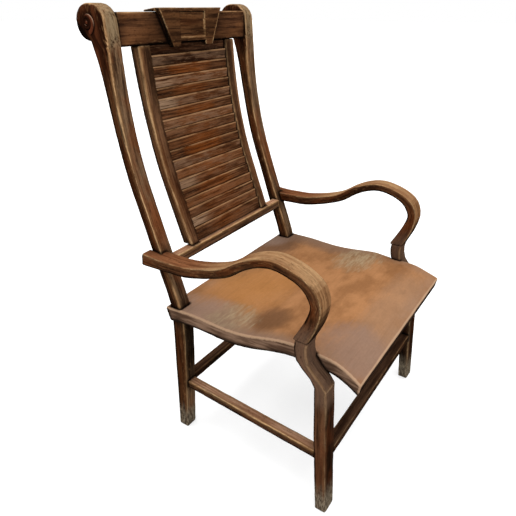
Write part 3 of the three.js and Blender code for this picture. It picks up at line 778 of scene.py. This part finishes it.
def distances(points, coords):
    """How far the nearest of some points is from each place, or the reach of a joint if there are none."""
    if not points:
        return np.full(len(coords), joint_reach)
    tree = KDTree(len(points))
    for i, point in enumerate(points):
        tree.insert(point, i)
    tree.balance()
    return np.array([tree.find(place)[2] for place in coords])


def stretched(piece):
    """Makes a slat longer and higher about its own middle, so that it meets its neighbours."""
    low, high = (Vector(corner) for corner in (piece.bound_box[0], piece.bound_box[6]))
    shares = [1 + more / length for more, length in zip(slat_stretch, high - low)]
    alone(piece)
    bpy.ops.object.mode_set(mode="EDIT")
    bpy.ops.mesh.select_all(action="SELECT")
    bpy.ops.transform.resize(value=shares, center_override=(low + high) / 2)
    bpy.ops.object.mode_set(mode="OBJECT")


def seated(piece):
    """Lets an arm's foot down a little, so that it sits tight on its post."""
    coords = places(piece)
    alone(piece)
    bpy.ops.object.mode_set(mode="EDIT")
    bpy.ops.mesh.select_all(action="DESELECT")
    bpy.ops.object.mode_set(mode="OBJECT")
    piece.data.vertices.foreach_set("select", coords[:, UP] < coords[:, UP].min() + foot_reach)
    bpy.ops.object.mode_set(mode="EDIT")
    bpy.ops.transform.translate(value=(0, 0, -foot_drop))
    bpy.ops.object.mode_set(mode="OBJECT")


def carved(piece, pitch, solid=None):
    """Cuts the piece's surface into even small faces, eases them and lays them on the solid."""
    alone(piece)
    remesh = piece.modifiers.new("even_faces", "REMESH")
    remesh.mode = "VOXEL"
    remesh.voxel_size = pitch * 1
    bpy.ops.object.modifier_apply(modifier=remesh.name)
    smooth = piece.modifiers.new("eased", "SMOOTH")
    smooth.factor = easing_share
    smooth.iterations = easing_rounds
    bpy.ops.object.modifier_apply(modifier=smooth.name)
    if solid:
        wrap = piece.modifiers.new("full_size", "SHRINKWRAP")
        wrap.target = solid
        bpy.ops.object.modifier_apply(modifier=wrap.name)


def dented(piece, arris_distance):
    """Leaves a hand-worked unevenness on the faces, and chips along the arrises."""
    near = piece.vertex_groups.new(name="near_arris")
    weights = np.clip(1 - np.array(arris_distance) / chip_reach, 0, 1)
    for i in np.flatnonzero(weights > 0):
        near.add([int(i)], float(weights[i]), "REPLACE")
    alone(piece)
    for name, depth, size, group in (
        ("hand_work", hand_dent, hand_dent_size, ""),
        ("chips", chip_depth, chip_size, near.name),
    ):
        texture = bpy.data.textures.get(name) or bpy.data.textures.new(name, "CLOUDS")
        texture.noise_scale = size
        texture.noise_depth = dent_layers
        dent = piece.modifiers.new(name, "DISPLACE")
        dent.texture = texture
        dent.texture_coords = "LOCAL"
        dent.strength = depth
        dent.mid_level = 0.5
        dent.vertex_group = group
        bpy.ops.object.modifier_apply(modifier=name)
    piece.vertex_groups.clear()


def middle_line(coords, run, bend):
    """The middle of a timber's section along one axis, at each place along another."""
    stops = np.arange(coords[:, run].min(), coords[:, run].max() + section_step, section_step)
    row = np.clip(np.digitize(coords[:, run], stops) - 1, 0, len(stops) - 2)
    middles, found = [], []
    for i in range(len(stops) - 1):
        section = coords[row == i, bend]
        if len(section):
            middles.append((section.min() + section.max()) / 2)
            found.append((stops[i] + stops[i + 1]) / 2)
    return np.interp(coords[:, run], found, middles)


def straight_grain(coords, node):
    """Grain that runs across the chair."""
    return coords - coords.mean(axis=0)


def upright_grain(coords, node):
    """Grain that runs up a timber and follows its bend."""
    through = coords[:, DEEP] - middle_line(coords, UP, DEEP)
    return np.column_stack([coords[:, UP], coords[:, ACROSS], through])


def side_grain(coords, node):
    """Grain that runs from front to back and follows the timber's slant."""
    through = coords[:, ACROSS] - middle_line(coords, DEEP, ACROSS)
    return np.column_stack([coords[:, DEEP], through, coords[:, UP]])


def arm_line(node):
    """The middle line of an arm in its own plane, as places close together."""
    low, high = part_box(node)
    shares = np.array(arm_line_shares)
    steps = np.linspace(0, len(shares) - 1, arm_line_steps)
    rows = np.arange(len(shares))
    line_y = low[DEEP] + (high[DEEP] - low[DEEP]) * np.interp(steps, rows, shares[:, 0])
    line_z = low[UP] + (high[UP] - low[UP]) * np.interp(steps, rows, shares[:, 1])
    return np.column_stack([line_y, line_z])


def arm_grain(coords, node):
    """Grain that follows the arm round its curl."""
    line = arm_line(node)
    tangent = np.gradient(line, axis=0)
    tangent /= np.linalg.norm(tangent, axis=1)[:, None]
    length = np.concatenate([[0], np.cumsum(np.linalg.norm(np.diff(line, axis=0), axis=1))])
    flat = coords[:, [DEEP, UP]]
    nearest = np.empty(len(flat), int)
    for start in range(0, len(flat), search_block):
        part = flat[start:start + search_block]
        squares = ((part[:, None] - line[None]) ** 2).sum(axis=2)
        nearest[start:start + search_block] = squares.argmin(axis=1)
    off = flat - line[nearest]
    along = length[nearest] + (off * tangent[nearest]).sum(axis=1)
    through = off[:, 0] * tangent[nearest, 1] - off[:, 1] * tangent[nearest, 0]
    return np.column_stack([along, coords[:, ACROSS], through])


def seat_grain(coords, node):
    """Grain that runs across the seat, measured from the chair's middle."""
    return coords


grain_of = {
    "rear_post": upright_grain,
    "front_post": upright_grain,
    "stile": upright_grain,
    "side_stretcher": side_grain,
    "arm": arm_grain,
    "seat": seat_grain,
}


def carry(piece, name, values):
    """Puts one number, or one place, for each vertex on the piece's mesh."""
    values = np.asarray(values, np.float32)
    if values.ndim == 2:
        layer = piece.data.attributes.new(name, "FLOAT_VECTOR", "POINT")
        layer.data.foreach_set("vector", values.ravel())
    else:
        layer = piece.data.attributes.new(name, "FLOAT", "POINT")
        layer.data.foreach_set("value", values)


def timber(number, node):
    """A node's timber: its solid cut fine, dented and marked with grain, arrises and joints."""
    kind = kind_of(node)
    piece = welded_copy(node)
    arrises, dark = open_arrises(piece, node)
    if kind == "slat":
        stretched(piece)
    carved(piece, fineness.get(kind, usual_fineness), None if kind == "slat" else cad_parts[node])
    if kind == "arm":
        seated(piece)
    coords = places(piece)
    to_arris = {shy: distances(points, coords) for shy, points in arrises.items() if points}
    # The solids whose nearness gives the painted shade round the joints
    shading_neighbours = neighbours(node, but=grown_together.get(kind))
    grain = grain_of.get(kind, straight_grain)(coords, node)
    worn = [far + shy * shy_distance / shy_steps for shy, far in to_arris.items()]
    dented(piece, np.min(list(to_arris.values()), axis=0))
    carry(piece, "worn", np.min(worn, axis=0))
    carry(piece, "shaded", distances(dark, coords))
    carry(piece, "joint", [distance_to(shading_neighbours, point) for point in coords])
    carry(piece, "grain", grain + grain_shift * number)
    if node in slat_looks:
        for mark, value in zip(slat_marks, slat_looks[node]):
            carry(piece, mark, np.full(len(coords), value))
    bpy.ops.object.shade_smooth()
    return piece


def volute(post, number):
    """The raised volute on a scroll: one round section drawn round and in, and a button at its eye."""
    centre = scroll_centre(post)
    bpy.ops.object.select_all(action="DESELECT")
    bpy.ops.mesh.primitive_circle_add(
        vertices=volute_sides,
        radius=volute_radius * volute_width_share,
        fill_type="NGON",
        location=centre + Vector((0, volute_radius, 0)),
    )
    piece = bpy.context.object
    piece.name = post.replace("rear_post", "volute")
    turn = volute_sweep / volute_steps
    bpy.ops.object.mode_set(mode="EDIT")
    bpy.ops.mesh.select_all(action="SELECT")
    for step in range(volute_steps):
        bpy.ops.mesh.extrude_region_move()
        bpy.ops.transform.rotate(value=turn, orient_axis="X", center_override=centre)
        bpy.ops.transform.resize(value=[math.exp(-volute_draw * turn)] * 3, center_override=centre)
    bpy.ops.mesh.primitive_uv_sphere_add(
        segments=button_segments, ring_count=button_rings, radius=button_radius, location=centre
    )
    bpy.ops.mesh.select_all(action="SELECT")
    bpy.ops.transform.rotate(value=-volute_start, orient_axis="X", center_override=centre)
    bpy.ops.transform.resize(value=(volute_flatness, 1, 1), center_override=centre)
    bpy.ops.mesh.normals_make_consistent(inside=False)
    bpy.ops.object.mode_set(mode="OBJECT")
    alone(piece)
    bpy.ops.object.transform_apply(location=True, rotation=True, scale=True)
    carved(piece, volute_fineness)
    coords = places(piece)
    stand = np.abs(coords[:, ACROSS] - centre.x)
    carry(piece, "proud", stand / stand.max())
    carry(piece, "grain", upright_grain(coords, post) + number)
    bpy.ops.object.shade_smooth()
    return piece


def camera():
    """The camera of the photograph, as the scene's own."""
    turn = (math.radians(90 - camera_fall), 0, math.radians(camera_heading))
    bpy.ops.object.camera_add(location=camera_place, rotation=turn)
    made = bpy.context.object
    made.data.lens = camera_lens
    made.data.shift_x, made.data.shift_y = camera_shift
    made.data.clip_start = camera_nearest
    bpy.context.scene.camera = made


def studio():
    """A plain pale floor, even white light all round and a soft light overhead."""
    bpy.context.scene.view_settings.view_transform = "Standard"
    bpy.ops.mesh.primitive_plane_add(size=floor_size)
    floor = bpy.context.object
    floor.name = "floor"
    pale = Finish("floor")
    speck = pale.noise(pale.spot, (floor_speck,) * 3, detail=2)
    pale.paint = pale.mix(speck, *floor_tones)
    rough = floor_dullness + speck * 0.05
    floor.data.materials.append(pale.cover(rough, speck, 0.1 * MM, floor_gloss, glow=floor_glow))
    world = bpy.data.worlds.new("studio")
    world.use_nodes = True
    world.node_tree.nodes["Background"].inputs["Color"].default_value = white
    world.node_tree.nodes["Background"].inputs["Strength"].default_value = 1
    bpy.context.scene.world = world
    bpy.ops.object.light_add(type="SUN", location=(0, 0, overhead_height))
    overhead = bpy.context.object
    overhead.name = "overhead"
    overhead.data.energy = overhead_strength
    overhead.data.angle = math.radians(overhead_spread)


# The finish of each kind of timber
finishes = {
    "rear_post": timber_wood(
        "post_wood",
        side=(colour(38, 20, 11), colour(98, 60, 34)),
        front=(colour(52, 35, 23), colour(106, 82, 60)),
        top=dull_top,
        rub=7 * MM,
        upright=True,
        scroll=True,
    ),
    "front_post": timber_wood(
        "leg_wood",
        side=(colour(34, 20, 12), colour(80, 52, 34)),
        front=(colour(14, 7, 4), colour(46, 28, 18)),
        top=(colour(60, 43, 32), colour(92, 70, 54)),
        warm=colour(74, 36, 16),
        shine=0.27,
        joint_shading=0.25,
        greyed=(280 * MM, 320 * MM),
    ),
    "arm": timber_wood(
        "arm_wood",
        side=(colour(34, 19, 10), colour(76, 47, 28)),
        front=(colour(92, 62, 39), colour(128, 94, 63)),
        top=(colour(80, 45, 26), colour(115, 74, 48)),
        fore=(colour(114, 80, 54), colour(148, 116, 82)),
        rub=3.5 * MM,
        shine=0.9,
        greyed=(510 * MM, 450 * MM),
        joint_shading=0.35,
    ),
    "stile": timber_wood(
        "stile_wood",
        side=(colour(48, 30, 19), colour(100, 70, 46)),
        front=(colour(64, 40, 26), colour(122, 86, 60)),
        top=dull_top,
        warm=colour(88, 56, 34),
        rub=9 * MM,
        shine=0.85,
        upright=True,
        dark_within=(177 * MM, 166 * MM),
    ),
    "rail": timber_wood(
        "rail_wood",
        side=(colour(20, 12, 7), colour(58, 37, 24)),
        front=(colour(38, 24, 16), colour(98, 71, 51)),
        # The tops are painted light partly as painted light, against the shade cast by the seat and the back
        # above
        top=(colour(130, 91, 67), colour(168, 130, 102)),
        warm=colour(94, 60, 38),
        rub=7 * MM,
        shine=1.1,
        joint_shading=0.2,
    ),
    "dark_rail": timber_wood(
        "dark_rail_wood",
        side=(colour(12, 7, 4), colour(42, 27, 18)),
        front=(colour(12, 7, 4), colour(46, 29, 19)),
        top=(colour(44, 28, 19), colour(76, 53, 38)),
        warm=colour(64, 34, 18),
        rub=4 * MM,
        shine=0.42,
    ),
    "crest": timber_wood(
        "crest_wood",
        side=(colour(36, 20, 11), colour(84, 54, 34)),
        front=(colour(45, 26, 16), colour(92, 60, 38)),
        top=dull_top,
        warm=colour(104, 66, 38),
        rub=3.5 * MM,
        shine=0.9,
        dark_within=(210 * MM, 60 * MM),
    ),
    "headrest": timber_wood(
        "headrest_wood",
        # Its sides are near black: painted shade
        side=(colour(4, 2, 1), colour(14, 8, 5)),
        front=(colour(38, 22, 12), colour(80, 52, 31)),
        top=(colour(62, 39, 25), colour(100, 72, 49)),
        warm=colour(74, 40, 20),
        rub=4 * MM,
        shine=0.95,
        joint_shading=0.0,
    ),
    "slat": slat_wood(),
    "seat": seat_wood(),
}

# Kinds of timber whose finish goes by another name
finish_of = {
    "crest_rail": "crest",
    "top_rail": "slat",
    "lower_back_rail": "rail",
    "front_stretcher": "dark_rail",
    "rear_stretcher": "dark_rail",
    "side_stretcher": "rail",
}

for number, node in enumerate(sorted(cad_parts)):
    piece = timber(number, node)
    kind = kind_of(node)
    piece.data.materials.append(finishes[finish_of.get(kind, kind)])
    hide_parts(node)
    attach(piece, "root")

carving = volute_wood()
for number, post in enumerate(("rear_post_left", "rear_post_right")):
    piece = volute(post, number)
    piece.data.materials.append(carving)
    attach(piece, "root")

camera()
studio()
